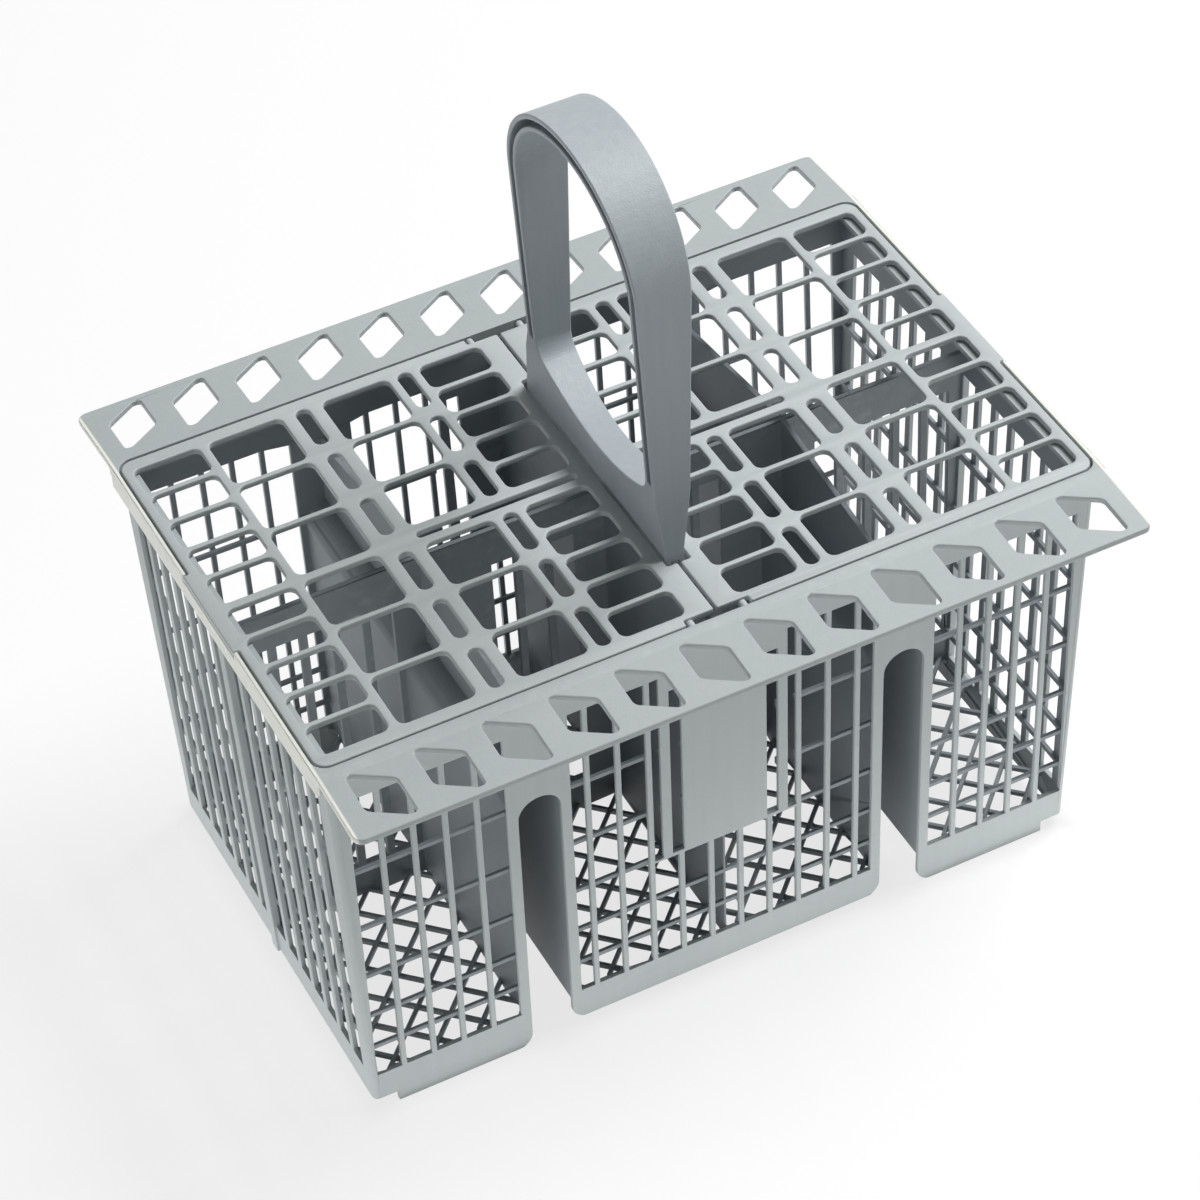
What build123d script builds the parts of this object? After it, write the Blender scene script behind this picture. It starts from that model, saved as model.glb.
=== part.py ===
"""Dishwasher cutlery basket: a tapered lattice tub, two hinged grille lids and a carry handle.

Millimetres. X runs along the basket, Y from front to back and Z up. The origin is the middle
of the surface that the basket stands on.
"""
import os
from build123d import *

os.makedirs("parts", exist_ok=True)

# Rim, flanges and the recess for the lids
rim_length = 240.0
body_height = 142.0
recess_depth = 138.0
end_rim = 1.1
rim_wall = 1.3
lid_thickness = 2.0
seat_clearance = 0.3
ledge_width = 3.0
ledge_thickness = 2.0
flange_reach = 26.5
flange_thickness = 2.0
flange_slope = 1.6
flange_radius = 3.0

# Slanting six-sided holes in the flanges
hex_count = 12
hex_pitch = 19.5
hex_width = 12.0
hex_depth = 18.9
hex_flat = 2.2
hex_side = 12.7
hex_margin = 2.6

# Tapered tub
end_overhang = 2.5
end_draft = 4.0
side_draft = 3.3
corner_radius = 2.0

# Lattice walls: upright ribs outside, level bars inside, closer together towards the floor
rib_depth = 1.5
bar_depth = 1.1
bar_height = 2.6
rib_width = 2.5
top_band = 20.0
end_band = 15.0
first_bar_gap = 10.5
bar_gap_growth = 3.1
bar_count = 5
side_columns = 5
middle_columns = 10
end_columns = 7
end_middle_rib = 4.0
end_rib_proud = 0.9
corner_post = 2.0
end_post = 5.0

# Blank plate in the middle of each long wall, with a slot and a guide rib on either side
plate_half_width = 13.2
plate_bar = 2
plate_columns = 2
plate_slot = 3.7
guide_rib = 3.0

# Floor and skirts
floor_top = 14.5
floor_layer = 1.5
floor_bar_width = 2.8
floor_bar_pitch = 29.4
middle_lift = 3.0
corner_lift = 4.0
corner_step = 7.5
skirt_radius = 5.0

# Channels that stand over the rack wires
channel_x = 57.0
channel_width = 13.0
channel_top = 101.0
channel_wall = 1.5
channel_margin = 3.6

# Partitions inside the tub
partition = 1.6
partition_gap = 3.2
partition_band = 13.0
partition_kerb = 10.0
divider_drop = 10.0

# Lid grilles
lid_gap = 0.7
lid_meeting_gap = 1.0
lid_radius = 4.0
lid_bar = 1.6
lid_end_border = 2.7
lid_side_border = 4.3
lid_inner_border = 7.5
ladder_width = 20.2
ladder_rows = 5
outer_big_width = 22.8
inner_big_width = 20.9
big_rows = 3
narrow_width = 4.4
narrow_bar = 5.2
column_bar = 2.6
broad_column_bar = 4.0
middle_bar = 2.8
slit_border = 3.0
slit_width = 2.6
slit_length = 50.0
tab_half_width = 17.0
tab_clearance = 0.4

# Lid hinges
hinge_x = 8.0
hinge_drop = 1.9
pin_radius = 1.2
pin_sides = 8
pin_clearance = 0.15
pin_root = 1.0
pin_bite = 1.7
pin_end_clearance = 0.3
tail_inset = 2.3
boss_half_width = 3.2
boss_wall = 1.2

# Carry handle, heights above the rim
handle_front = -43.2
handle_rear = 32.4
base_rear = 42.0
base_flare = 28.0
handle_shoulder = 88.0
handle_height = 120.5
strap_thickness = 5.0
band_thickness = 1.6
lip_thickness = 1.4
web_thickness = 3.0
groove_foot = 27.0
crown_width = 18.4
knee_width = 10.9
knee_height = 22.0
foot_width = 5.4
loop_floor = 14.5
loop_corner = 24.0
loop_fillet = 7.0
saddle_drop = 1.5
saddle_depth = 7.0
saddle_clearance = 0.3
notch_clearance = 1.0
notch_end_gap = 2.0
catch_length = 8.0
catch_height = 3.0
catch_proud = 1.2
catch_spread = 26.0
catch_drop = 4.2

# Places worked out from the sizes above
recess_length = rim_length - 2 * end_rim
flange_depth = recess_depth + 2 * flange_reach
tub_length = rim_length - 2 * end_overhang
tub_depth = recess_depth + 2 * rim_wall
inner_face = rib_depth + bar_depth
floor_bottom = floor_top - 2 * floor_layer
seat_z = body_height - lid_thickness - seat_clearance
ledge_z = seat_z - ledge_thickness
partition_top = ledge_z - partition_gap
saddle_top = body_height - saddle_drop
lattice_top = body_height - top_band
end_lattice_top = body_height - end_band
hinge_z = body_height - hinge_drop
lid_end = recess_length / 2 - lid_gap
lid_half_depth = recess_depth / 2 - lid_gap
handle_middle = (handle_front + handle_rear) / 2
far = 2 * (rim_length + flange_depth + body_height)


def half_length(z):
    """Half the tub's length at a height, between its end faces."""
    return tub_length / 2 - end_draft * (1 - z / body_height)


def half_depth(z):
    """Half the tub's depth at a height, between its long faces."""
    return tub_depth / 2 - side_draft * (1 - z / body_height)


bar_levels = []
for bar_number in range(bar_count):
    below = bar_levels[-1] if bar_levels else floor_top
    bar_levels.append(below + first_bar_gap + bar_gap_growth * bar_number)
plate_bottom = bar_levels[plate_bar]

side_start = channel_x + channel_width / 2 + channel_margin
side_window = half_length(0) - corner_post - side_start
side_pitch = (side_window + rib_width) / side_columns
side_middle = side_start + side_window / 2
middle_window = channel_x - channel_width / 2 - channel_margin
middle_pitch = 2 * middle_window / middle_columns
end_window = half_depth(0) - end_post - end_middle_rib / 2
end_pitch = (end_window + rib_width) / end_columns


def tapered_outline(half_low, half_high):
    """Upright outline as high as the tub, narrower at its foot."""
    foot = (-half_low, 0), (half_low, 0)
    top = (half_high, body_height), (-half_high, body_height)
    Polygon(*foot, *top, align=None)


def tapered_block(inset):
    """The tub's tapered form as a solid, with its four sides moved in by the inset."""
    with BuildPart() as block:
        with BuildSketch(Plane.XZ):
            tapered_outline(half_length(0) - inset, half_length(body_height) - inset)
        extrude(amount=rim_length, both=True)
        with BuildSketch(Plane.YZ):
            tapered_outline(half_depth(0) - inset, half_depth(body_height) - inset)
        extrude(amount=rim_length, both=True, mode=Mode.INTERSECT)
        if inset <= 0:
            uprights = block.edges().filter_by(lambda e: e.bounding_box().size.Z > body_height / 2)
            fillet(uprights, corner_radius)
    return block.part


def upright_slots(centres, width, low, high):
    """Upright rectangles from one height to another, one at each centre along the wall."""
    with Locations(*[(centre, (low + high) / 2) for centre in centres]):
        Rectangle(width, high - low)


def both_sides(places):
    """The given distances from the middle, and their mirror images."""
    return [side * place for place in places for side in (-1, 1)]


def arch(half_width, bottom):
    """Upright outline with a round top, at both channels."""
    crown = channel_top - channel_width / 2
    with Locations((-channel_x, (crown + bottom) / 2), (channel_x, (crown + bottom) / 2)):
        Rectangle(2 * half_width, crown - bottom)
    with Locations((-channel_x, crown), (channel_x, crown)):
        Circle(half_width)


outer_block = tapered_block(0)
rib_back = tapered_block(rib_depth)
bar_back = tapered_block(inner_face)
proud_block = tapered_block(-end_rib_proud)


# Level bars that run round the inside of the ribs
with BuildPart() as bars:
    for level in bar_levels:
        with BuildSketch(Plane.XY.offset(level - bar_height / 2)):
            Rectangle(far, far)
        extrude(amount=bar_height)
    add(rib_back, mode=Mode.INTERSECT)
    add(bar_back, mode=Mode.SUBTRACT)


# Broad middle rib on each end wall, proud of the others
with BuildPart() as end_ribs:
    with BuildSketch(Plane.XY.offset(corner_lift)):
        Rectangle(far, end_middle_rib)
    extrude(amount=ledge_z - corner_lift)
    add(proud_block, mode=Mode.INTERSECT)
    add(rib_back, mode=Mode.SUBTRACT)


# The free space of the two rack channels, open at the bottom
with BuildPart() as channel_space:
    with BuildSketch(Plane.XZ):
        arch(channel_width / 2, -floor_top)
    extrude(amount=far, both=True)


# Arched tunnels round the rack channels, each with a divider standing on its crown
with BuildPart() as tunnels:
    with BuildSketch(Plane.XZ):
        arch(channel_width / 2 + channel_wall, floor_bottom)
    extrude(amount=far, both=True)
    for side in (-1, 1):
        with BuildSketch(Plane.YZ.offset(side * channel_x - partition / 2)):
            with BuildLine():
                Polyline(
                    (-tub_depth / 2, channel_top),
                    (tub_depth / 2, channel_top),
                    (tub_depth / 2, partition_top - divider_drop),
                    (0, partition_top),
                    (-tub_depth / 2, partition_top - divider_drop),
                    close=True,
                )
            make_face()
        extrude(amount=partition)
    add(rib_back, mode=Mode.INTERSECT)
    add(channel_space.part, mode=Mode.SUBTRACT)


# Partitions: one along the basket with open slots, one across it that carries the handle
with BuildPart() as partitions:
    with BuildSketch(Plane.XZ.offset(-partition / 2)):
        with Locations((0, floor_bottom)):
            Rectangle(rim_length, partition_top - floor_bottom, align=(Align.CENTER, Align.MIN))
    extrude(amount=partition)
    with BuildSketch(Plane.XZ.offset(-partition)):
        side_ribs = [side_middle + side_pitch * (i - (side_columns - 1) / 2) for i in range(side_columns)]
        middle_ribs = [middle_pitch * (i + 0.5) for i in range(1, middle_columns // 2 - 1)]
        slot_low = floor_top + partition_kerb
        slot_high = partition_top - partition_band
        upright_slots(both_sides(side_ribs), side_pitch - rib_width, slot_low, slot_high)
        upright_slots(both_sides(middle_ribs), middle_pitch - rib_width, slot_low, slot_high)
    extrude(amount=2 * partition, mode=Mode.SUBTRACT)
    with BuildSketch(Plane.YZ.offset(-partition / 2)):
        with Locations((0, floor_bottom)):
            Rectangle(tub_depth, partition_top - floor_bottom, align=(Align.CENTER, Align.MIN))
        with Locations(((handle_front + base_rear) / 2, floor_bottom)):
            Rectangle(base_rear - handle_front, saddle_top - floor_bottom, align=(Align.CENTER, Align.MIN))
    extrude(amount=partition)
    with BuildSketch(Plane.YZ.offset(-partition / 2 - catch_proud)):
        for side in (-1, 1):
            with Locations((handle_middle + side * catch_spread, body_height - catch_drop)):
                Rectangle(catch_length, catch_height)
    extrude(amount=partition + 2 * catch_proud)
    add(rib_back, mode=Mode.INTERSECT)
    add(channel_space.part, mode=Mode.SUBTRACT)


# Floor: two layers of slanting bars that cross, one layer for each direction
with BuildPart() as floor:
    bar_total = 2 * round(rim_length / floor_bar_pitch) + 1
    for layer, slant in ((0, 45), (1, -45)):
        with BuildSketch(Plane.XY.offset(floor_bottom + layer * floor_layer)):
            with Locations(Location((0, 0), slant)):
                with GridLocations(floor_bar_pitch, 1, bar_total, 1):
                    Rectangle(floor_bar_width, far)
        extrude(amount=floor_layer)
    add(rib_back, mode=Mode.INTERSECT)
    add(channel_space.part, mode=Mode.SUBTRACT)


# Rim: a frame with the recess for the lids, flanges and hinge sockets
with BuildPart() as rim:
    # Rim frame with the recess, and the ledge that the lids lie on
    with BuildSketch(Plane.XY.offset(ledge_z)):
        Rectangle(rim_length, tub_depth)
        Rectangle(
            recess_length - 2 * ledge_width - 2 * end_overhang,
            recess_depth - 2 * ledge_width,
            mode=Mode.SUBTRACT,
        )
    extrude(amount=body_height - ledge_z)
    with BuildSketch(Plane.XY.offset(seat_z)):
        RectangleRounded(recess_length, recess_depth, lid_radius + lid_gap)
    extrude(amount=far, mode=Mode.SUBTRACT)

    # Gap in the ledge where the inner ends of the lids swing down
    with BuildSketch(Plane.XY.offset(ledge_z)):
        Rectangle(2 * (hinge_x + boss_half_width), recess_depth)
    extrude(amount=ledge_thickness, mode=Mode.SUBTRACT)

    # Flanges along the two long sides
    for side in (-1, 1):
        with BuildSketch(Plane.YZ.offset(-rim_length / 2)):
            with BuildLine():
                root = side * (recess_depth + rim_wall) / 2
                edge = side * flange_depth / 2
                Polyline(
                    (root, body_height),
                    (edge, body_height - flange_slope),
                    (edge, body_height - flange_slope - flange_thickness),
                    (root, body_height - flange_thickness),
                    close=True,
                )
            make_face()
        extrude(amount=rim_length)
    flange_corners = rim.edges().filter_by(Axis.Z).filter_by(
        lambda e: abs(e.center().Y) > flange_depth / 2 - flange_radius
    )
    fillet(flange_corners, flange_radius)
    with BuildSketch(Plane.XY):
        hex_y = flange_depth / 2 - hex_margin - hex_depth / 2
        half_w = hex_width / 2
        half_d = hex_depth / 2
        for side in (-1, 1):
            with Locations((0, side * hex_y)):
                with GridLocations(hex_pitch, 1, hex_count, 1):
                    Polygon(
                        (-half_w, -side * half_d),
                        (-half_w + hex_flat, -side * half_d),
                        (half_w, side * (half_d - hex_side)),
                        (half_w, side * half_d),
                        (half_w - hex_flat, side * half_d),
                        (-half_w, side * (hex_side - half_d)),
                        align=None,
                    )
    extrude(amount=far, mode=Mode.SUBTRACT)

    # Hinge sockets: a boss under each flange root, bored for the lid pin
    bore_radius = pin_radius + pin_clearance
    boss_low = hinge_z - bore_radius - boss_wall
    boss_high = body_height - flange_thickness / 2
    bore_depth = pin_bite + pin_end_clearance
    for side in (-1, 1):
        with BuildSketch(Plane.XZ.offset(-side * recess_depth / 2)):
            with Locations((-hinge_x, boss_low), (hinge_x, boss_low)):
                Rectangle(2 * boss_half_width, boss_high - boss_low, align=(Align.CENTER, Align.MIN))
        extrude(amount=-side * (bore_depth + boss_wall))
        with BuildSketch(Plane.XZ.offset(-side * recess_depth / 2)):
            with Locations((-hinge_x, hinge_z), (hinge_x, hinge_z)):
                RegularPolygon(bore_radius, pin_sides, major_radius=False)
        extrude(amount=-side * bore_depth, mode=Mode.SUBTRACT)

    # Notches in the end rims under the finger tabs of the lids
    with BuildSketch(Plane.XY.offset(seat_z)):
        Rectangle(far, 2 * (tab_half_width + tab_clearance))
        Rectangle(tub_length, flange_depth, mode=Mode.SUBTRACT)
    extrude(amount=far, mode=Mode.SUBTRACT)


with BuildPart() as basket:
    # Tapered wall up to the rim, as thick as the ribs
    add(outer_block)
    add(rib_back, mode=Mode.SUBTRACT)
    split(bisect_by=Plane.XY.offset(ledge_z), keep=Keep.BOTTOM)

    # Upright slots between the ribs of the two long walls, round the blank plate
    with BuildSketch(Plane.XZ):
        upright_slots(both_sides(side_ribs), side_pitch - rib_width, floor_top, lattice_top)
        full_columns = [middle_pitch * i for i in range(plate_columns + 1, middle_columns // 2)]
        upright_slots(both_sides(full_columns), middle_pitch - rib_width, floor_top, lattice_top)
        edge_width = (middle_pitch - rib_width) / 2
        upright_slots(both_sides([middle_window - edge_width / 2]), edge_width, floor_top, lattice_top)
        low_columns = both_sides([middle_pitch * i for i in range(1, plate_columns + 1)])
        upright_slots([0] + low_columns, middle_pitch - rib_width, floor_top, plate_bottom)
    extrude(amount=far, both=True, mode=Mode.SUBTRACT)

    # Upright slots between the ribs of the two end walls
    with BuildSketch(Plane.YZ):
        end_slot = end_pitch - rib_width
        end_places = [end_middle_rib / 2 + end_slot / 2 + end_pitch * i for i in range(end_columns)]
        upright_slots(both_sides(end_places), end_slot, floor_top, end_lattice_top)
    extrude(amount=far, both=True, mode=Mode.SUBTRACT)
    add(bars.part)
    add(end_ribs.part)

    # Open slots on either side of the plate and of its guide ribs, through ribs and bars alike
    with BuildSketch(Plane.XZ):
        guide_room = middle_pitch * (plate_columns + 0.5) - rib_width / 2 - plate_half_width
        thin_slot = guide_room - guide_rib - plate_slot
        guide_foot = plate_bottom + bar_height / 2
        upright_slots(both_sides([plate_half_width + plate_slot / 2]), plate_slot, guide_foot, lattice_top)
        thin_place = plate_half_width + guide_room - thin_slot / 2
        upright_slots(both_sides([thin_place]), thin_slot, guide_foot, lattice_top)
    extrude(amount=far, both=True, mode=Mode.SUBTRACT)

    # Skirts below the floor, lifted at the middle and at the four corners
    with BuildSketch(Plane.XZ):
        Rectangle(2 * channel_x, 2 * middle_lift)
        corner_x = half_length(0) - corner_step
        for side in (-1, 1):
            with Locations((side * (corner_x + rim_length / 2), 0)):
                Rectangle(rim_length, 2 * corner_lift)
    extrude(amount=far, both=True, mode=Mode.SUBTRACT)
    add(channel_space.part, mode=Mode.SUBTRACT)
    skirt_corners = basket.edges().filter_by(Axis.Y).filter_by(
        lambda e: e.center().Z < corner_lift
        and abs(abs(e.center().X) - channel_x) < channel_width / 2 + channel_wall
    )
    fillet(skirt_corners, skirt_radius)

    add(rim.part)
    add(tunnels.part)
    add(partitions.part)
    add(floor.part)
basket.part.label = "basket"
export_step(basket.part, "parts/basket.step")


def opening_rows(rows, near, bar):
    """Middles and depth of a column's openings, on both sides of the lid's long middle bar."""
    far_edge = lid_half_depth - lid_side_border
    depth = (far_edge - near - (rows - 1) * bar) / rows
    return both_sides([near + depth / 2 + (depth + bar) * i for i in range(rows)]), depth


with BuildPart() as right_lid:
    with BuildSketch(Plane.XY.offset(body_height - lid_thickness)) as grille:
        with Locations((lid_meeting_gap / 2, 0)):
            Rectangle(lid_end - lid_meeting_gap / 2, 2 * lid_half_depth, align=(Align.MIN, Align.CENTER))
        fillet(grille.vertices().group_by(Axis.X)[-1], lid_radius)

        # Finger tab over the end rim
        with Locations((lid_end - lid_end_border / 2, 0)):
            Rectangle(
                rim_length / 2 - lid_end + lid_end_border / 2,
                2 * tab_half_width,
                align=(Align.MIN, Align.CENTER),
            )

        # Columns of openings from the outer end inwards; the last takes the room that is left
        ladder_near = middle_bar / 2
        slit_near = slit_width / 2 + slit_border
        outer = lid_end - lid_end_border
        columns = (
            (ladder_width, column_bar, ladder_rows, lid_bar, ladder_near),
            (outer_big_width, broad_column_bar, big_rows, lid_bar, ladder_near),
            (narrow_width, broad_column_bar, big_rows, narrow_bar, slit_near),
            (inner_big_width, column_bar, big_rows, lid_bar, slit_near),
            (narrow_width, column_bar, big_rows, narrow_bar, slit_near),
            (None, column_bar, ladder_rows, lid_bar, slit_near),
        )
        for width, border, rows, bar, near in columns:
            width = width or outer - lid_inner_border
            places, depth = opening_rows(rows, near, bar)
            with Locations(*[(outer - width / 2, y) for y in places]):
                Rectangle(width, depth, mode=Mode.SUBTRACT)
            outer -= width + border

        # Slit along the lid's middle, room for the handle's base and for the hinge ends
        slit_start = lid_inner_border + lid_bar / 2
        slit_end = lid_inner_border + slit_length
        with Locations(((slit_start + slit_end) / 2, 0)):
            Rectangle(slit_end - slit_start, slit_width, mode=Mode.SUBTRACT)
        notch_middle = (handle_front + base_rear) / 2
        notch_length = base_rear - handle_front + 2 * notch_end_gap
        with Locations((0, notch_middle)):
            Rectangle(foot_width + 2 * notch_clearance, notch_length, mode=Mode.SUBTRACT)
        for side in (-1, 1):
            with Locations((0, side * lid_half_depth)):
                Rectangle(2 * (hinge_x + pin_radius + lid_gap), 2 * tail_inset, mode=Mode.SUBTRACT)
    extrude(amount=lid_thickness)

    # Hinge pins at the two inner corners
    for side in (-1, 1):
        with BuildSketch(Plane.XZ.offset(-side * (lid_half_depth - tail_inset - pin_root))):
            with Locations((hinge_x, hinge_z)):
                RegularPolygon(pin_radius, pin_sides)
        extrude(amount=-side * (pin_root + tail_inset + lid_gap + pin_bite))
right_lid.part.label = "right_lid"
export_step(right_lid.part, "parts/right_lid.step")

with BuildPart() as left_lid:
    add(mirror(right_lid.part, about=Plane.YZ))
left_lid.part.label = "left_lid"
export_step(left_lid.part, "parts/left_lid.step")


def strap_face(inset, foot):
    """Side view of the handle's legs and crown, moved in by the inset, above a height."""
    shoulder = body_height + handle_shoulder
    front = handle_front + inset
    rear = handle_rear - inset
    with BuildSketch() as face:
        with BuildLine():
            Polyline((front, shoulder), (front, foot), (rear, foot), (rear, shoulder))
            EllipticalCenterArc(
                (handle_middle, shoulder),
                (rear - front) / 2,
                handle_height - handle_shoulder - inset,
                start_angle=0,
                arc_size=180,
            )
        make_face()
    return face.sketch


base_z = body_height - saddle_depth
loop_low = body_height + loop_corner
groove_low = body_height + groove_foot
strap = strap_face(0, base_z)
strap_loop = strap_face(strap_thickness, loop_low)
groove_ring = strap_face(band_thickness, groove_low) - strap_face(strap_thickness - lip_thickness, groove_low)

with BuildPart() as carry_handle:
    # Side view: strap loop on a base that flares out behind the rear leg
    with BuildSketch(Plane.YZ.offset(-crown_width)):
        add(strap)
        inner_rear = handle_rear - strap_thickness
        Polygon(
            (inner_rear, base_z),
            (base_rear, base_z),
            (base_rear, body_height),
            (handle_rear, body_height + base_flare),
            (inner_rear, body_height + base_flare),
            align=None,
        )
    extrude(amount=2 * crown_width)
    with BuildSketch(Plane.YZ.offset(-crown_width)) as loop:
        add(strap_loop)
        with BuildLine():
            inner_front = handle_front + strap_thickness
            ThreePointArc(
                (inner_front, loop_low),
                (handle_middle, body_height + loop_floor),
                (inner_rear, loop_low),
            )
            Line((inner_rear, loop_low), (inner_front, loop_low))
        make_face()
        loop_feet = loop.vertices().filter_by(lambda v: abs(v.Y - loop_low) < lip_thickness)
        fillet(loop_feet, loop_fillet)
    extrude(amount=2 * crown_width, mode=Mode.SUBTRACT)

    # Front view: narrow feet that widen fast up to a knee, then slowly up to the crown
    with BuildSketch(Plane.XZ):
        for side in (-1, 1):
            Polygon(
                (0, base_z),
                (side * foot_width / 2, base_z),
                (side * foot_width / 2, body_height),
                (side * knee_width / 2, body_height + knee_height),
                (side * crown_width / 2, body_height + handle_height),
                (0, body_height + handle_height),
                align=None,
            )
    extrude(amount=far, both=True, mode=Mode.INTERSECT)

    # Grooves in both sides of the strap, which leave a middle web
    for side in (-1, 1):
        with BuildSketch(Plane.YZ.offset(side * web_thickness / 2)):
            add(groove_ring)
        extrude(amount=side * crown_width, mode=Mode.SUBTRACT)

    # Saddle slot over the cross partition, with holes for its catches
    with BuildSketch(Plane.XZ):
        with Locations((0, base_z)):
            Rectangle(
                partition + 2 * saddle_clearance,
                saddle_top - base_z,
                align=(Align.CENTER, Align.MIN),
            )
    extrude(amount=far, both=True, mode=Mode.SUBTRACT)
    with BuildSketch(Plane.YZ):
        for side in (-1, 1):
            with Locations((handle_middle + side * catch_spread, body_height - catch_drop)):
                Rectangle(catch_length + 2 * saddle_clearance, catch_height + 2 * saddle_clearance)
    extrude(amount=crown_width, both=True, mode=Mode.SUBTRACT)
carry_handle.part.label = "carry_handle"
export_step(carry_handle.part, "parts/carry_handle.step")
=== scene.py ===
"""Looks of the dishwasher cutlery basket: soft moulded edges, satin grey plastic and a studio."""

import math

import bmesh
import bpy
import numpy as np
from mathutils import Matrix, Vector


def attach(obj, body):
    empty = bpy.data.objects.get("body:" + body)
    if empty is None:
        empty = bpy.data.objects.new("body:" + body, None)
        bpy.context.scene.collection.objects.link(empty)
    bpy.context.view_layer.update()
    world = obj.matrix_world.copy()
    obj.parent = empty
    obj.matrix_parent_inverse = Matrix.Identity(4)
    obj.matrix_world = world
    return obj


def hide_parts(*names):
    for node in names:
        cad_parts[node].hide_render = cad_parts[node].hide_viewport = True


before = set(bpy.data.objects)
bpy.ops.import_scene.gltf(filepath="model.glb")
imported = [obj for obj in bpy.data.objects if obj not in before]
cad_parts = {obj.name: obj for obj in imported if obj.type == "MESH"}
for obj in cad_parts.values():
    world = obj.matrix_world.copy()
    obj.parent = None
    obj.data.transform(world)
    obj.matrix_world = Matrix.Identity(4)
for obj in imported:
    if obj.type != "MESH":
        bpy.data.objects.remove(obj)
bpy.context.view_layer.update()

# Lengths are in metres and angles in degrees: corners nearer than TOUCH are one corner, edges and
# corners above SHARP_ANGLE are rounded, and corners of an outline below STRAIGHT_ANGLE are left out
TOUCH = 2e-6
SHARP_ANGLE = 32.0
STRAIGHT_ANGLE = 0.5
TUB_EDGE = 0.00025
HANDLE_EDGE = 0.0004
EDGE_STEPS = 2

# Rim height, and the tub's half length and half depth at its foot and how they grow with height
RIM_HEIGHT = 0.142
FOOT_HALF_LENGTH = 0.1135
FOOT_HALF_DEPTH = 0.067
LENGTH_GROWTH = 0.004 / RIM_HEIGHT
DEPTH_GROWTH = 0.0033 / RIM_HEIGHT

# Lid grilles and flanges: rounding of the openings, the outer corners and the edges, and the pins
OPENING_RADIUS = 0.0025
CORNER_RADIUS = 0.0006
SHEET_EDGE = 0.00045
SHEET_EDGE_STEPS = 2
ARC_STEPS = 5
SIDE_SHARE = 0.49
PIN_RADIUS = 0.00115
PIN_SIDES = 20

# Flanges, which slope down from the rim
FLANGE_ROOT = 0.0703
FLANGE_SLOPE_START = 0.06965
FLANGE_SLOPE = 0.0016 / 0.02585
FLANGE_THICKNESS = 0.002
ROOT_OVERLAP = 0.0009

# Lattice of the long walls: how far its windows' tops are raised, and how much comes off each side
# of its ribs, level bars and floor bars
WALL_THICKNESS = 0.0026
LATTICE_TOP = 0.122
WINDOW_RISE = 0.006
RIB_TRIM = 0.00045
BAR_TRIM = 0.0005
FLOOR_TRIM = 0.0008
END_GAP = 0.0015
PLATE_BOTTOM = 0.0535
PLATE_HALF_WIDTH = 0.0205

# How near a face's normal comes to the X axis, the Z axis, a level way or a way between X and Y
SIDEWAYS = 0.99
LEVEL = 0.9
UPRIGHT = 0.1
SLANTING = 0.05

# Lips along the end rims, with a painted highlight in pale colour
LIP_LOW = 0.1338
LIP_HIGH = 0.139
LIP_INNER = 0.1175
LIP_OUTER = 0.11998
LIP_HALF_DEPTH = 0.0695
LIP_PAINTED_HIGHLIGHT = (0.92, 0.93, 0.86, 1)

# Inside of the tub, painted shade in a deeper tone: the depths at which it starts and is full, and
# how far the painted shade and the painted highlight run into each other at the rim and at the lips
INSIDE_SHADE_START = 0.0011
INSIDE_SHADE_FULL = 0.0015
INSIDE_PAINTED_SHADE = (0.26, 0.29, 0.31, 1)
TONE_FADE = 0.001
LIP_HIGHLIGHT_START = 0.0012
LIP_HIGHLIGHT_FULL = 0.0008

# Fine slanting floor bars, two between each pair of the CAD floor's bars, one layer each way
FLOOR_TOP = 0.0145
FLOOR_LAYER = 0.0015
FLOOR_PITCH = 0.0098
FLOOR_BAR = 0.0011
CAD_BAR_STEP = 3
FLOOR_HALF_LENGTH = 0.1123
FLOOR_HALF_DEPTH = 0.0657
CHANNEL_PLACE = 0.057
CHANNEL_HALF_WIDTH = 0.0076

# Plastics: pale and deep tones, roughness and share of flow streaks
BASKET_PALE, BASKET_DEEP = (0.47, 0.51, 0.51, 1), (0.41, 0.45, 0.455, 1)
# Painted light: the lids' tones are paler than the basket's
LID_LIT_PALE, LID_LIT_DEEP = (0.52, 0.56, 0.56, 1), (0.46, 0.50, 0.505, 1)
# Painted shade: the handle's tones are darker and bluer than the basket's
HANDLE_SHADED_PALE, HANDLE_SHADED_DEEP = (0.43, 0.475, 0.50, 1), (0.35, 0.395, 0.43, 1)
BASKET_ROUGH, LID_ROUGH, HANDLE_ROUGH = 0.46, 0.44, 0.42
BASKET_STREAKS, LID_STREAKS, HANDLE_STREAKS = 0.25, 0.2, 0.4

# Moulding marks: repeats a metre and detail of each noise, and the part of its range that shows
CLOUD_SCALE, CLOUD_DETAIL, CLOUD_RANGE = 14.0, 3.0, (0.3, 0.7)
FLOW_SCALE, FLOW_DETAIL, FLOW_RANGE = 420.0, 2.0, (0.3, 0.7)
GRAIN_SCALE, GRAIN_DETAIL, GRAIN_RANGE = 1900.0, 2.0, (0.25, 0.75)
SCUFF_SCALE, SCUFF_DETAIL, SCUFF_RANGE = 260.0, 5.0, (0.52, 0.74)
FLOW_STRETCH = (1, 1, 0.03)

# How much the marks change the colour, the roughness and the relief, and the pale edges, which are
# wear and a painted highlight
CLOUD_TONE, GRAIN_TONE = 0.45, 0.25
CLOUD_ROUGHNESS, SCUFF_ROUGHNESS, WEAR_GLOSS = 0.10, 0.08, 0.08
RELIEF_STRENGTH, RELIEF_HEIGHT, FLOW_RELIEF = 0.25, 0.00012, 0.5
EDGE_RANGE = (0.51, 0.60)
EVEN_WEAR_AND_HIGHLIGHT = 0.35
WEAR_AND_HIGHLIGHT_TONE = 0.5
WEAR_AND_HIGHLIGHT_PALER = 1.18

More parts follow.
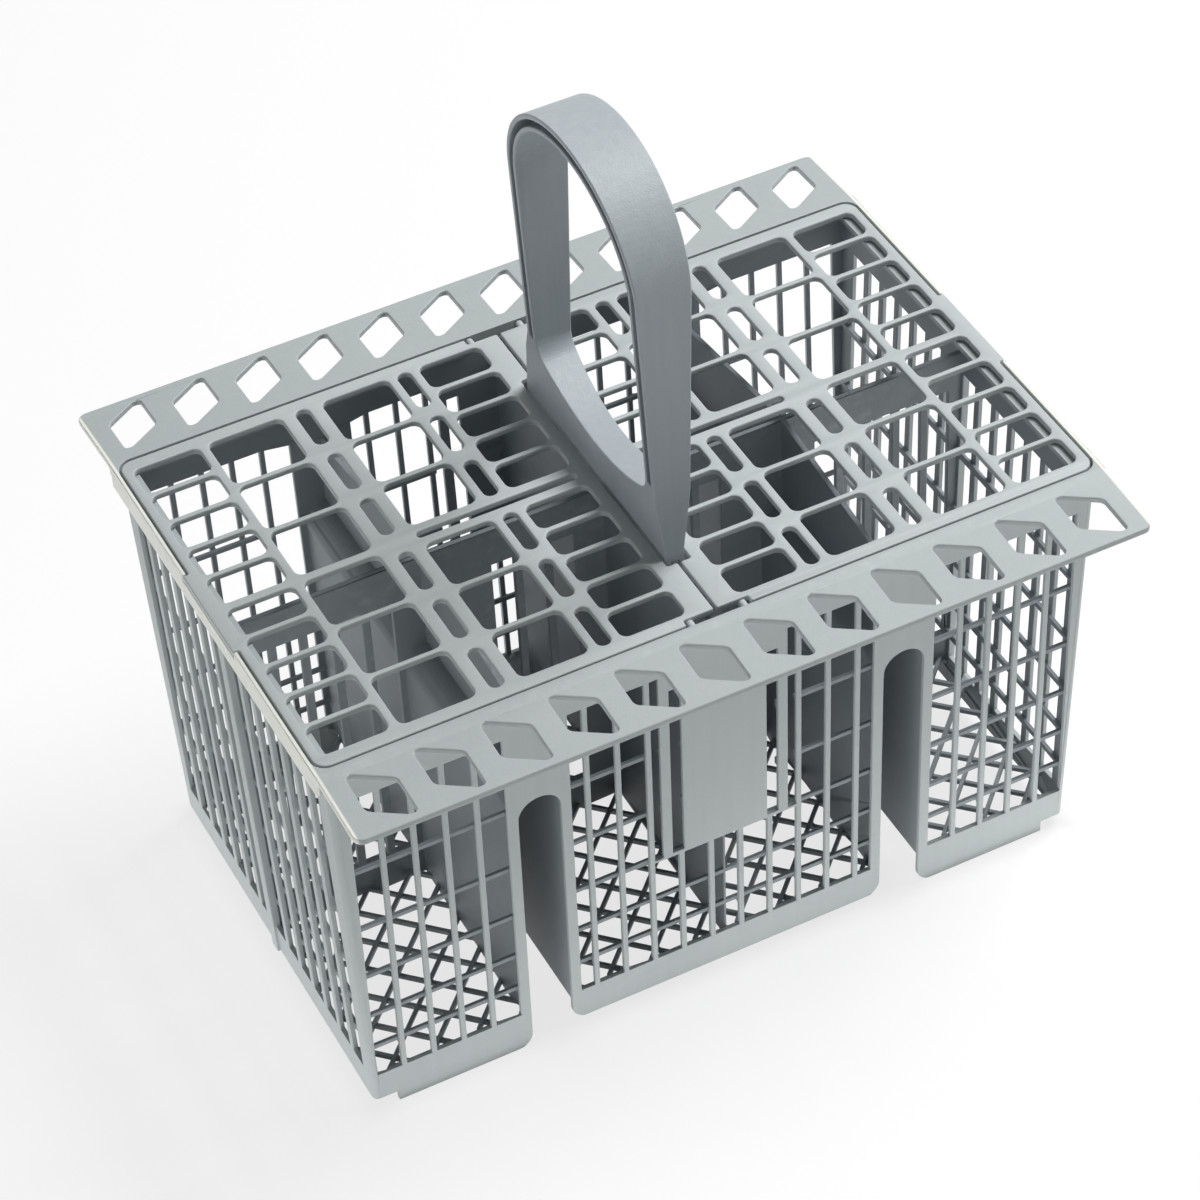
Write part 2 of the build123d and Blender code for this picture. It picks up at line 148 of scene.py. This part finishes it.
# Camera of the photograph
CAMERA_AZIMUTH = -24.8824
CAMERA_ELEVATION = 43.5735
CAMERA_ROLL = -3.4068
CAMERA_DISTANCE = 1.16482
CAMERA_SIDESTEP = -0.00073
CAMERA_RISE = -0.0375
CAMERA_LENS = 125.525
SENSOR_WIDTH = 36.0
NEAREST_VIEW = 0.01

# Studio: share of plain white in the floor as the camera sees it, light that the floor sends up
# from round the basket, and light from all round
FLOOR_HALF_WIDTH = 6.0
FLOOR_WHITENESS = 0.7
FLOOR_WHITE = 1.1
FLOOR_GLOW = 1.55
GLOW_START = -0.002
GLOW_FULL = 0.006
GLOW_END = 0.4
AMBIENT = 0.05
WHITE, BLACK = (1, 1, 1, 1), (0, 0, 0, 1)
FLOOR_PALE, FLOOR_DEEP = (0.86, 0.86, 0.86, 1), (0.84, 0.84, 0.84, 1)
# Painted shadow: a dark floor colour under the basket
FLOOR_PAINTED_SHADOW = (0.35, 0.35, 0.35, 1)
FLOOR_CLOUD_SCALE = 2.0

# Lamps: place, width and power, all of them aimed at the middle of the tub
LAMP_AIM = (0, 0, 0.1)
OVERHEAD_PLACE, OVERHEAD_WIDTH, OVERHEAD_POWER = (0.8, 0.05, 1.4), 0.8, 25.0
FILL_PLACE, FILL_WIDTH, FILL_POWER = (-1.4, -0.25, 0.35), 1.0, 5.0


class Field:
    """A value or colour that varies over a surface; arithmetic on values adds Math nodes."""

    def __init__(self, finish, socket):
        self.finish = finish
        self.socket = socket

    def math(self, operation, first, second):
        return self.finish.node("ShaderNodeMath", {0: first, 1: second}, operation=operation)

    def __add__(self, other):
        return self.math("ADD", self, other)

    def __radd__(self, other):
        return self.math("ADD", other, self)

    def __sub__(self, other):
        return self.math("SUBTRACT", self, other)

    def __rsub__(self, other):
        return self.math("SUBTRACT", other, self)

    def __mul__(self, other):
        return self.math("MULTIPLY", self, other)

    def __rmul__(self, other):
        return self.math("MULTIPLY", other, self)

    def __abs__(self):
        return self.math("ABSOLUTE", self, 0.0)

    def or_more(self, other):
        return self.math("MAXIMUM", self, other)

    def or_less(self, other):
        return self.math("MINIMUM", self, other)

    def between(self, low, high):
        """The value as a share of the way from low to high, kept from 0 to 1."""
        sockets = {"Value": self, "From Min": low, "From Max": high}
        return self.finish.node("ShaderNodeMapRange", sockets, clamp=True)


class Finish:
    """A material or world under construction: its node tree and the fields in it."""

    def __init__(self, owner):
        self.owner = owner
        owner.use_nodes = True
        self.tree = owner.node_tree
        self.tree.nodes.clear()

    def node(self, kind, sockets=None, output=0, **settings):
        """Adds a node with its settings, then fills or links its sockets; gives one output."""
        made = self.tree.nodes.new(kind)
        for setting, value in settings.items():
            setattr(made, setting, value)
        for key, value in (sockets or {}).items():
            if isinstance(value, Field):
                self.tree.links.new(value.socket, made.inputs[key])
            else:
                made.inputs[key].default_value = value
        return Field(self, made.outputs[output])

    def place(self, stretch=(1, 1, 1)):
        """Object coordinates in metres, stretched along the axes."""
        coordinates = self.node("ShaderNodeTexCoord", output="Object")
        return self.node("ShaderNodeMapping", {"Vector": coordinates, "Scale": stretch})

    def axes(self):
        """Object coordinates as three values."""
        sockets = {"Vector": self.place()}
        return [self.node("ShaderNodeSeparateXYZ", sockets, output=axis) for axis in "XYZ"]

    def noise(self, scale, detail=2.0, stretch=(1, 1, 1)):
        sockets = {"Vector": self.place(stretch), "Scale": scale, "Detail": detail}
        return self.node("ShaderNodeTexNoise", sockets)

    def mixed(self, share, first, second):
        sockets = {0: share, 6: first, 7: second}
        return self.node("ShaderNodeMix", sockets, output=2, data_type="RGBA")

    def looked_at(self):
        """1 for what the camera looks at, directly, in a gloss or through a clear piece, else 0."""
        rays = ("Is Camera Ray", "Is Glossy Ray", "Is Transmission Ray")
        straight, glossy, clear = (self.node("ShaderNodeLightPath", output=ray) for ray in rays)
        return (straight + glossy + clear).between(0, 1)

    def blended(self, share, first, second):
        return self.node("ShaderNodeMixShader", {0: share, 1: first, 2: second})

    def shade(self, shader, kind="ShaderNodeOutputMaterial"):
        """Ends the tree with its shader and gives back the material or world."""
        end = self.tree.nodes.new(kind)
        self.tree.links.new(shader.socket, end.inputs["Surface"])
        return self.owner


def tub_painted_shade_and_lip_highlight(finish, colour):
    """The tub's colour, with painted shade in a deeper tone behind the ribs and inside, and a painted
    highlight in pale colour along the end lips.

    The depth behind the outside is the tub's half length or half depth at that height less the
    distance from the middle, whichever is less.
    """
    x, y, z = finish.axes()
    behind_end = FOOT_HALF_LENGTH + LENGTH_GROWTH * z - abs(x)
    behind_side = FOOT_HALF_DEPTH + DEPTH_GROWTH * z - abs(y)
    # Painted shade: faces well behind the outside and below the rim take the deeper tone
    inside = behind_end.or_less(behind_side).between(INSIDE_SHADE_START, INSIDE_SHADE_FULL)
    below_rim = z.between(LIP_HIGH, LIP_HIGH - TONE_FADE)
    with_painted_shade = finish.mixed(inside * below_rim, colour, INSIDE_PAINTED_SHADE)
    # Painted highlight: the tub's outer ends from the lips up take the pale colour
    far_out = abs(x).between(LIP_OUTER - LIP_HIGHLIGHT_START, LIP_OUTER - LIP_HIGHLIGHT_FULL)
    high_up = z.between(LIP_LOW - TONE_FADE, LIP_LOW)
    return finish.mixed(far_out * high_up, with_painted_shade, LIP_PAINTED_HIGHLIGHT)


def even_tones(finish, colour):
    """The same colour all over, for pieces without the tub's painted shade and painted lip highlight.
    """
    return colour


def moulded_plastic(name, pale, deep, roughness, streaks, tones=even_tones):
    """Satin plastic: flow clouding and streaks, a fine spark-eroded grain and paler edges, worn and
    with a painted highlight.
    """
    finish = Finish(bpy.data.materials.new(name))
    cloud = finish.noise(CLOUD_SCALE, CLOUD_DETAIL).between(*CLOUD_RANGE)
    flow = finish.noise(FLOW_SCALE, FLOW_DETAIL, FLOW_STRETCH).between(*FLOW_RANGE)
    grain = finish.noise(GRAIN_SCALE, GRAIN_DETAIL).between(*GRAIN_RANGE)
    scuff = finish.noise(SCUFF_SCALE, SCUFF_DETAIL).between(*SCUFF_RANGE)
    edge = finish.node("ShaderNodeNewGeometry", output="Pointiness").between(*EDGE_RANGE)
    # Paler sharp edges, broken up by scuffs: wear and a painted highlight
    edge_wear_and_highlight = edge * (EVEN_WEAR_AND_HIGHLIGHT + (1 - EVEN_WEAR_AND_HIGHLIGHT) * scuff)
    tone = finish.mixed(CLOUD_TONE * cloud + streaks * flow + GRAIN_TONE * grain, deep, pale)
    worn_and_highlight_colour = tuple(min(1.0, WEAR_AND_HIGHLIGHT_PALER * channel) for channel in pale[:3]) + (1.0,)
    colour = finish.mixed(WEAR_AND_HIGHLIGHT_TONE * edge_wear_and_highlight, tones(finish, tone), worn_and_highlight_colour)
    rough = roughness + CLOUD_ROUGHNESS * cloud + SCUFF_ROUGHNESS * scuff - WEAR_GLOSS * edge_wear_and_highlight
    height = grain + FLOW_RELIEF * flow
    bump = {"Strength": RELIEF_STRENGTH, "Distance": RELIEF_HEIGHT, "Height": height}
    relief = finish.node("ShaderNodeBump", bump)
    sockets = {"Base Color": colour, "Roughness": rough, "Normal": relief}
    return finish.shade(finish.node("ShaderNodeBsdfPrincipled", sockets))


def floor_paint(name):
    """Matt floor that the camera sees as nearly white, with the object's shadow left on it and a
    painted shadow in a dark colour under the basket.

    It lights the basket from below with a glow that fades with the square of the way out.
    """
    finish = Finish(bpy.data.materials.new(name))
    x, y, _ = finish.axes()
    outside = (abs(x) - FOOT_HALF_LENGTH).or_more(abs(y) - FOOT_HALF_DEPTH)
    fading = outside.between(GLOW_END, GLOW_FULL)
    near = outside.between(GLOW_START, GLOW_FULL) * fading * fading
    cloud = finish.noise(FLOOR_CLOUD_SCALE).between(*CLOUD_RANGE)
    pale = finish.mixed(cloud, FLOOR_DEEP, FLOOR_PALE)
    # Painted shadow: the floor under the basket takes the dark colour
    floor_with_painted_shadow = finish.mixed(outside.between(GLOW_START, GLOW_FULL), FLOOR_PAINTED_SHADOW, pale)
    matt = finish.node("ShaderNodeBsdfDiffuse", {"Color": floor_with_painted_shadow})
    tint = finish.mixed(near, BLACK, WHITE)
    glow = finish.node("ShaderNodeEmission", {"Color": tint, "Strength": FLOOR_GLOW})
    lit = finish.node("ShaderNodeAddShader", {0: matt, 1: glow})
    white = finish.node("ShaderNodeEmission", {"Color": WHITE, "Strength": FLOOR_WHITE})
    shown = finish.blended(FLOOR_WHITENESS, matt, white)
    return finish.shade(finish.blended(finish.looked_at(), lit, shown))


def merged_copy(node):
    """A working copy of a CAD node's mesh with its split corners merged."""
    work = bmesh.new()
    work.from_mesh(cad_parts[node].data)
    bmesh.ops.remove_doubles(work, verts=work.verts, dist=TOUCH)
    return work


def as_mesh(name, work):
    """The working copy as a mesh; the copy is used up."""
    mesh = bpy.data.meshes.new(name)
    work.to_mesh(mesh)
    work.free()
    return mesh


def add_piece(mesh, body, material):
    """An object for the mesh, smooth but for its sharp edges, that rides a body."""
    mesh.materials.append(material)
    mesh.shade_smooth()
    mesh.set_sharp_from_angle(angle=math.radians(SHARP_ANGLE))
    piece = bpy.data.objects.new(mesh.name, mesh)
    bpy.context.collection.objects.link(piece)
    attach(piece, body)
    return piece


def soften_edges(piece, width):
    """Rounds the sharp edges of a piece that is a copy of a CAD node, and keeps its flats even."""
    edges = piece.modifiers.new("soft_edges", "BEVEL")
    edges.width = width
    edges.segments = EDGE_STEPS
    edges.limit_method = "ANGLE"
    edges.angle_limit = math.radians(SHARP_ANGLE)
    edges.use_clamp_overlap = False
    even = piece.modifiers.new("even_flats", "WEIGHTED_NORMAL")
    even.mode = "FACE_AREA"
    even.keep_sharp = True


def outlines_of(top):
    """Closed outlines of some faces seen from above, counterclockwise outside, clockwise inside."""
    following = {}
    for face in top:
        for side in face.loops:
            if side.link_loop_radial_next.face not in top:
                following[side.vert] = side.link_loop_next.vert
    outlines = []
    while following:
        start, corner = following.popitem()
        outline = [start]
        while corner is not start:
            outline.append(corner)
            corner = following.pop(corner)
        outlines.append(np.array([corner.co.xy for corner in outline]))
    return outlines


def enclosed_area(outline):
    """Area inside a closed outline, negative when it runs clockwise."""
    after = np.roll(outline, -1, axis=0)
    return (outline[:, 0] @ after[:, 1] - outline[:, 1] @ after[:, 0]) / 2


def rounded(outline, radius):
    """A closed outline with its sharp corners as arcs, smaller ones where the sides are short."""
    points = []
    befores, afters = np.roll(outline, 1, axis=0), np.roll(outline, -1, axis=0)
    for before, corner, after in zip(befores, outline, afters):
        lengths = np.linalg.norm(before - corner), np.linalg.norm(after - corner)
        back, ahead = (before - corner) / lengths[0], (after - corner) / lengths[1]
        turn = math.pi - math.acos(np.clip(back @ ahead, -1, 1))
        if turn < math.radians(SHARP_ANGLE):
            if turn > math.radians(STRAIGHT_ANGLE):
                points.append(corner)
            continue
        reach = min(radius * math.tan(turn / 2), SIDE_SHARE * min(lengths))
        centre = corner + (back + ahead) * reach / (1 + back @ ahead)
        start, end = corner + back * reach - centre, corner + ahead * reach - centre
        steps = np.linspace(0, turn, ARC_STEPS + 1)[:, None]
        arc = (start * np.sin(turn - steps) + end * np.sin(steps)) / math.sin(turn)
        points.extend(centre + arc)
    return np.array(points)


def softened(outlines):
    """Outlines with rounded corners: tight ones outside and wide ones in the openings."""
    radii = [CORNER_RADIUS if enclosed_area(outline) > 0 else OPENING_RADIUS for outline in outlines]
    return [rounded(outline, radius) for outline, radius in zip(outlines, radii)]


def moulded_sheet(outlines, thickness, top):
    """A flat sheet with openings and rounded edges below a height, from its closed outlines."""
    curve = bpy.data.curves.new("sheet", "CURVE")
    curve.dimensions = "2D"
    curve.fill_mode = "BOTH"
    curve.extrude = thickness / 2 - SHEET_EDGE
    curve.bevel_depth = SHEET_EDGE
    curve.bevel_resolution = SHEET_EDGE_STEPS
    curve.offset = -SHEET_EDGE
    for outline in outlines:
        spline = curve.splines.new("POLY")
        spline.points.add(len(outline) - 1)
        flat = np.column_stack([outline, np.zeros(len(outline)), np.ones(len(outline))])
        spline.points.foreach_set("co", flat.ravel())
        spline.use_cyclic_u = True
    holder = bpy.data.objects.new("sheet", curve)
    bpy.context.collection.objects.link(holder)
    shaped = holder.evaluated_get(bpy.context.evaluated_depsgraph_get())
    sheet = bmesh.new()
    sheet.from_mesh(shaped.to_mesh())
    bmesh.ops.remove_doubles(sheet, verts=sheet.verts, dist=TOUCH)
    bmesh.ops.recalc_face_normals(sheet, faces=sheet.faces)
    sheet.transform(Matrix.Translation((0, 0, top - thickness / 2)))
    bpy.data.objects.remove(holder)
    bpy.data.curves.remove(curve)
    return sheet


def bar_profile(width, height):
    """Corners of an upright rectangle about its middle, counterclockwise."""
    return np.array([(-width, -height), (width, -height), (width, height), (-width, height)]) / 2


def pin_profile():
    """Points of a circle, counterclockwise."""
    angles = np.linspace(0, 2 * math.pi, PIN_SIDES, endpoint=False)
    return PIN_RADIUS * np.stack([np.cos(angles), np.sin(angles)], axis=1)


def carried(name, profile, starts, ends):
    """Closed bars: a profile carried straight and level from each start to its end.

    A profile's point (across, up) lies at the start or end plus across times the level unit vector to
    the left of the way, plus up times the unit vector along Z.
    """
    way = (ends - starts) / np.linalg.norm(ends - starts, axis=1, keepdims=True)
    left = np.stack([-way[:, 1], way[:, 0], np.zeros(len(way))], axis=1)
    shift = profile[:, :1] * left[:, None] + profile[:, 1:] * np.array([0, 0, 1])
    rings = np.concatenate([starts[:, None] + shift, ends[:, None] + shift], axis=1)
    count = len(profile)
    number = np.arange(count)
    after = np.roll(number, -1)
    sides = np.stack([number, after, after + count, number + count], axis=1)
    caps = np.stack([number[::-1], number + count])
    first = 2 * count * np.arange(len(starts))[:, None, None]
    faces = (first + sides).reshape(-1, 4).tolist() + (first + caps).reshape(-1, count).tolist()
    mesh = bpy.data.meshes.new(name)
    mesh.from_pydata(rings.reshape(-1, 3).tolist(), [], faces)
    return mesh


def grille_lid(name, node):
    """A lid with its openings rounded, made from the outlines of the CAD lid's top face."""
    work = merged_copy(node)
    corners = np.array([corner.co for corner in work.verts])
    top = corners[:, 2].max()
    underside = np.median(corners[corners[:, 2] < top - TOUCH, 2])
    flat = {face for face in work.faces if min(corner.co.z for corner in face.verts) > top - TOUCH}
    lid = moulded_sheet(softened(outlines_of(flat)), top - underside, top)
    work.free()
    pins = corners[corners[:, 2] < underside - TOUCH]
    for pin in pins[pins[:, 1] < 0], pins[pins[:, 1] > 0]:
        low, high = pin.min(axis=0), pin.max(axis=0)
        middle = (low[0] + high[0]) / 2, low[2] + PIN_RADIUS
        tips = [np.array([(middle[0], y, middle[1])]) for y in (low[1], high[1])]
        lid.from_mesh(carried("pin", pin_profile(), *tips))
    return as_mesh(name, lid)


def rounded_flange(work, side):
    """Takes a CAD flange off the working copy and gives it back with the holes rounded."""
    start = FLANGE_SLOPE_START

    def depth(corner):
        """How far a corner is below the flange's sloping top."""
        return RIM_HEIGHT - FLANGE_SLOPE * (side * corner.co.y - start) - corner.co.z

    plate = []
    for face in work.faces:
        outer = min(side * corner.co.y for corner in face.verts) > FLANGE_ROOT - TOUCH
        depths = [depth(corner) for corner in face.verts]
        if outer and min(depths) > -TOUCH and max(depths) < FLANGE_THICKNESS + TOUCH:
            plate.append(face)
    top = {face for face in plate if max(depth(corner) for corner in face.verts) < TOUCH}
    outlines = outlines_of(top)
    for outline in outlines:
        outline[side * outline[:, 1] < FLANGE_ROOT + TOUCH, 1] -= side * ROOT_OVERLAP
    bmesh.ops.delete(work, geom=plate, context="FACES")
    flange = moulded_sheet(softened(outlines), FLANGE_THICKNESS, 0.0)
    slope = Matrix.Translation((0, 0, RIM_HEIGHT + FLANGE_SLOPE * start))
    slope[2][1] = -side * FLANGE_SLOPE
    flange.transform(slope)
    return as_mesh("flange", flange)


def lattice_trim(face):
    """How far a face of the long walls' lattice or of the floor goes back, 0 for any other face."""
    corners = np.abs([corner.co for corner in face.verts])
    height = corners[:, 2]
    across, along, up = np.abs(face.normal)
    floor_bottom = FLOOR_TOP - 2 * FLOOR_LAYER
    if height.min() > floor_bottom - TOUCH and height.max() < FLOOR_TOP + TOUCH:
        return FLOOR_TRIM if up < UPRIGHT and abs(across - along) < SLANTING else 0
    behind = FOOT_HALF_DEPTH + DEPTH_GROWTH * height - corners[:, 1]
    in_wall = behind.min() > -TOUCH and behind.max() < WALL_THICKNESS + TOUCH
    in_rows = height.min() > FLOOR_TOP - TOUCH and height.max() < LATTICE_TOP + TOUCH
    by_plate = corners[:, 0].mean() < PLATE_HALF_WIDTH and height.mean() > PLATE_BOTTOM
    in_channel = np.abs(corners[:, 0] - CHANNEL_PLACE).max() < CHANNEL_HALF_WIDTH
    if not in_wall or not in_rows or by_plate or in_channel:
        return 0
    if across > SIDEWAYS:
        return RIB_TRIM
    if up > LEVEL and height.min() > LATTICE_TOP - TOUCH:
        return WINDOW_RISE
    clear_of_ends = height.min() > FLOOR_TOP + END_GAP and height.max() < LATTICE_TOP - END_GAP
    return BAR_TRIM if up > LEVEL and clear_of_ends else 0


def slim_lattice(work):
    """Makes the bars of the long walls and the floor thin and the windows high, as in the photograph.

    Each face of a bar goes back against its normal, and a corner takes the moves of all its faces.
    """
    moves = {}
    for face in work.faces:
        trim = lattice_trim(face)
        if trim:
            way = tuple(round(part, 1) for part in face.normal)
            for corner in face.verts:
                moves.setdefault(corner, {})[way] = -trim * face.normal
    for corner, shifts in moves.items():
        corner.co += sum(shifts.values(), Vector())


def end_lips(name):
    """Lips along the tub's two ends, under the rim: an upright rectangle carried along Y."""
    middle = (LIP_OUTER + LIP_INNER) / 2, (LIP_HIGH + LIP_LOW) / 2
    starts = np.array([(side * middle[0], -LIP_HALF_DEPTH, middle[1]) for side in (-1, 1)])
    profile = bar_profile(LIP_OUTER - LIP_INNER, LIP_HIGH - LIP_LOW)
    return carried(name, profile, starts, starts * (1, -1, 1))


def moulded_tub(name):
    """The tub with slim bars, rounded flange holes and lips along its ends."""
    work = merged_copy("basket")
    slim_lattice(work)
    for flange in [rounded_flange(work, side) for side in (-1, 1)]:
        work.from_mesh(flange)
    work.from_mesh(end_lips("end_lips"))
    return as_mesh(name, work)


def fine_floor(name):
    """The floor's fine slanting bars, cut off at the walls of each bay.

    Each bar follows y = slope * x + crossing, with a slope of 1 or -1 and crossings a pitch apart.
    """
    reach = FLOOR_HALF_LENGTH + FLOOR_HALF_DEPTH
    count = math.ceil(reach / (math.sqrt(2) * FLOOR_PITCH))
    numbers = np.arange(-count, count + 1)
    crossings = math.sqrt(2) * FLOOR_PITCH * numbers[numbers % CAD_BAR_STEP != 0]
    channel = CHANNEL_PLACE - CHANNEL_HALF_WIDTH, CHANNEL_PLACE + CHANNEL_HALF_WIDTH
    bay_lows = np.array([-FLOOR_HALF_LENGTH, -channel[0], channel[1]])[:, None]
    bay_highs = np.array([-channel[1], channel[0], FLOOR_HALF_LENGTH])[:, None]
    starts, ends = [], []
    for layer, slope in ((2, -1), (1, 1)):
        low = np.maximum(bay_lows, -slope * crossings - FLOOR_HALF_DEPTH)
        high = np.minimum(bay_highs, -slope * crossings + FLOOR_HALF_DEPTH)
        kept = high - low > FLOOR_BAR
        crossing = np.broadcast_to(crossings, kept.shape)[kept]
        height = np.full(len(crossing), FLOOR_TOP - (layer - 0.5) * FLOOR_LAYER)
        for tips, x in (starts, low[kept]), (ends, high[kept]):
            tips.append(np.stack([x, slope * x + crossing, height], axis=1))
    profile = bar_profile(FLOOR_BAR, FLOOR_LAYER)
    return carried(name, profile, np.concatenate(starts), np.concatenate(ends))


def soft_light(name, place, width, power):
    """A square area lamp that faces the middle of the tub."""
    lamp = bpy.data.lights.new(name, "AREA")
    lamp.shape = "SQUARE"
    lamp.size = width
    lamp.energy = power
    holder = bpy.data.objects.new(name, lamp)
    holder.location = place
    holder.rotation_euler = (Vector(LAMP_AIM) - Vector(place)).to_track_quat("-Z", "Y").to_euler()
    bpy.context.collection.objects.link(holder)


def floor_sheet(half_width):
    """A flat square floor under the basket."""
    span = np.array([-half_width, half_width])
    across, along = np.meshgrid(span, span)
    corners = np.stack([across.ravel(), along.ravel(), np.zeros(4)], axis=1)
    mesh = bpy.data.meshes.new("floor")
    mesh.from_pydata(corners.tolist(), [], [(0, 1, 3, 2)])
    mesh.materials.append(floor_paint("floor_paint"))
    floor = bpy.data.objects.new("floor", mesh)
    bpy.context.collection.objects.link(floor)


def photo_camera():
    """The camera that took the photograph: a long lens above the front left corner."""
    azimuth, elevation, roll = np.radians([CAMERA_AZIMUTH, CAMERA_ELEVATION, CAMERA_ROLL])
    level = np.array([np.sin(azimuth), -np.cos(azimuth), 0.0])
    back = level * np.cos(elevation) + np.array([0.0, 0.0, np.sin(elevation)])
    right = np.cross(-back, [0.0, 0.0, 1.0])
    right /= np.linalg.norm(right)
    up = np.cross(back, right)
    right, up = right * np.cos(roll) + up * np.sin(roll), up * np.cos(roll) - right * np.sin(roll)
    place = back * CAMERA_DISTANCE + right * CAMERA_SIDESTEP + up * CAMERA_RISE
    place[2] += RIM_HEIGHT
    turned = np.eye(4)
    turned[:3, 0], turned[:3, 1], turned[:3, 2], turned[:3, 3] = right, up, back, place
    lens = bpy.data.cameras.new("camera")
    lens.lens = CAMERA_LENS
    lens.sensor_width = SENSOR_WIDTH
    lens.clip_start = NEAREST_VIEW
    camera = bpy.data.objects.new("camera", lens)
    camera.matrix_world = Matrix(turned.tolist())
    bpy.context.collection.objects.link(camera)
    bpy.context.scene.camera = camera


def studio_world():
    """Soft light from all round, plain white where the camera looks past the floor."""
    finish = Finish(bpy.data.worlds.new("studio"))
    soft = finish.node("ShaderNodeBackground", {"Color": WHITE, "Strength": AMBIENT})
    white = finish.node("ShaderNodeBackground", {"Color": WHITE, "Strength": 1.0})
    blend = finish.blended(finish.looked_at(), soft, white)
    bpy.context.scene.world = finish.shade(blend, "ShaderNodeOutputWorld")


basket_plastic = moulded_plastic(
    "basket_plastic", BASKET_PALE, BASKET_DEEP, BASKET_ROUGH, BASKET_STREAKS, tub_painted_shade_and_lip_highlight,
)
lid_plastic = moulded_plastic("lid_plastic", LID_LIT_PALE, LID_LIT_DEEP, LID_ROUGH, LID_STREAKS)
handle_plastic = moulded_plastic(
    "handle_plastic", HANDLE_SHADED_PALE, HANDLE_SHADED_DEEP, HANDLE_ROUGH, HANDLE_STREAKS,
)

tub = add_piece(moulded_tub("basket_moulding"), "tub", basket_plastic)
soften_edges(tub, TUB_EDGE)
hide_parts("basket")
strap = as_mesh("handle_strap", merged_copy("carry_handle"))
handle = add_piece(strap, "tub", handle_plastic)
soften_edges(handle, HANDLE_EDGE)
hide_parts("carry_handle")
for side in "left", "right":
    grille = grille_lid(side + "_grille", side + "_lid")
    lid = add_piece(grille, side + "_lid", lid_plastic)
    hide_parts(side + "_lid")
add_piece(fine_floor("floor_bars"), "tub", basket_plastic)

floor_sheet(FLOOR_HALF_WIDTH)
studio_world()
soft_light("overhead", OVERHEAD_PLACE, OVERHEAD_WIDTH, OVERHEAD_POWER)
soft_light("left_fill", FILL_PLACE, FILL_WIDTH, FILL_POWER)
photo_camera()
bpy.context.scene.view_settings.view_transform = "Standard"
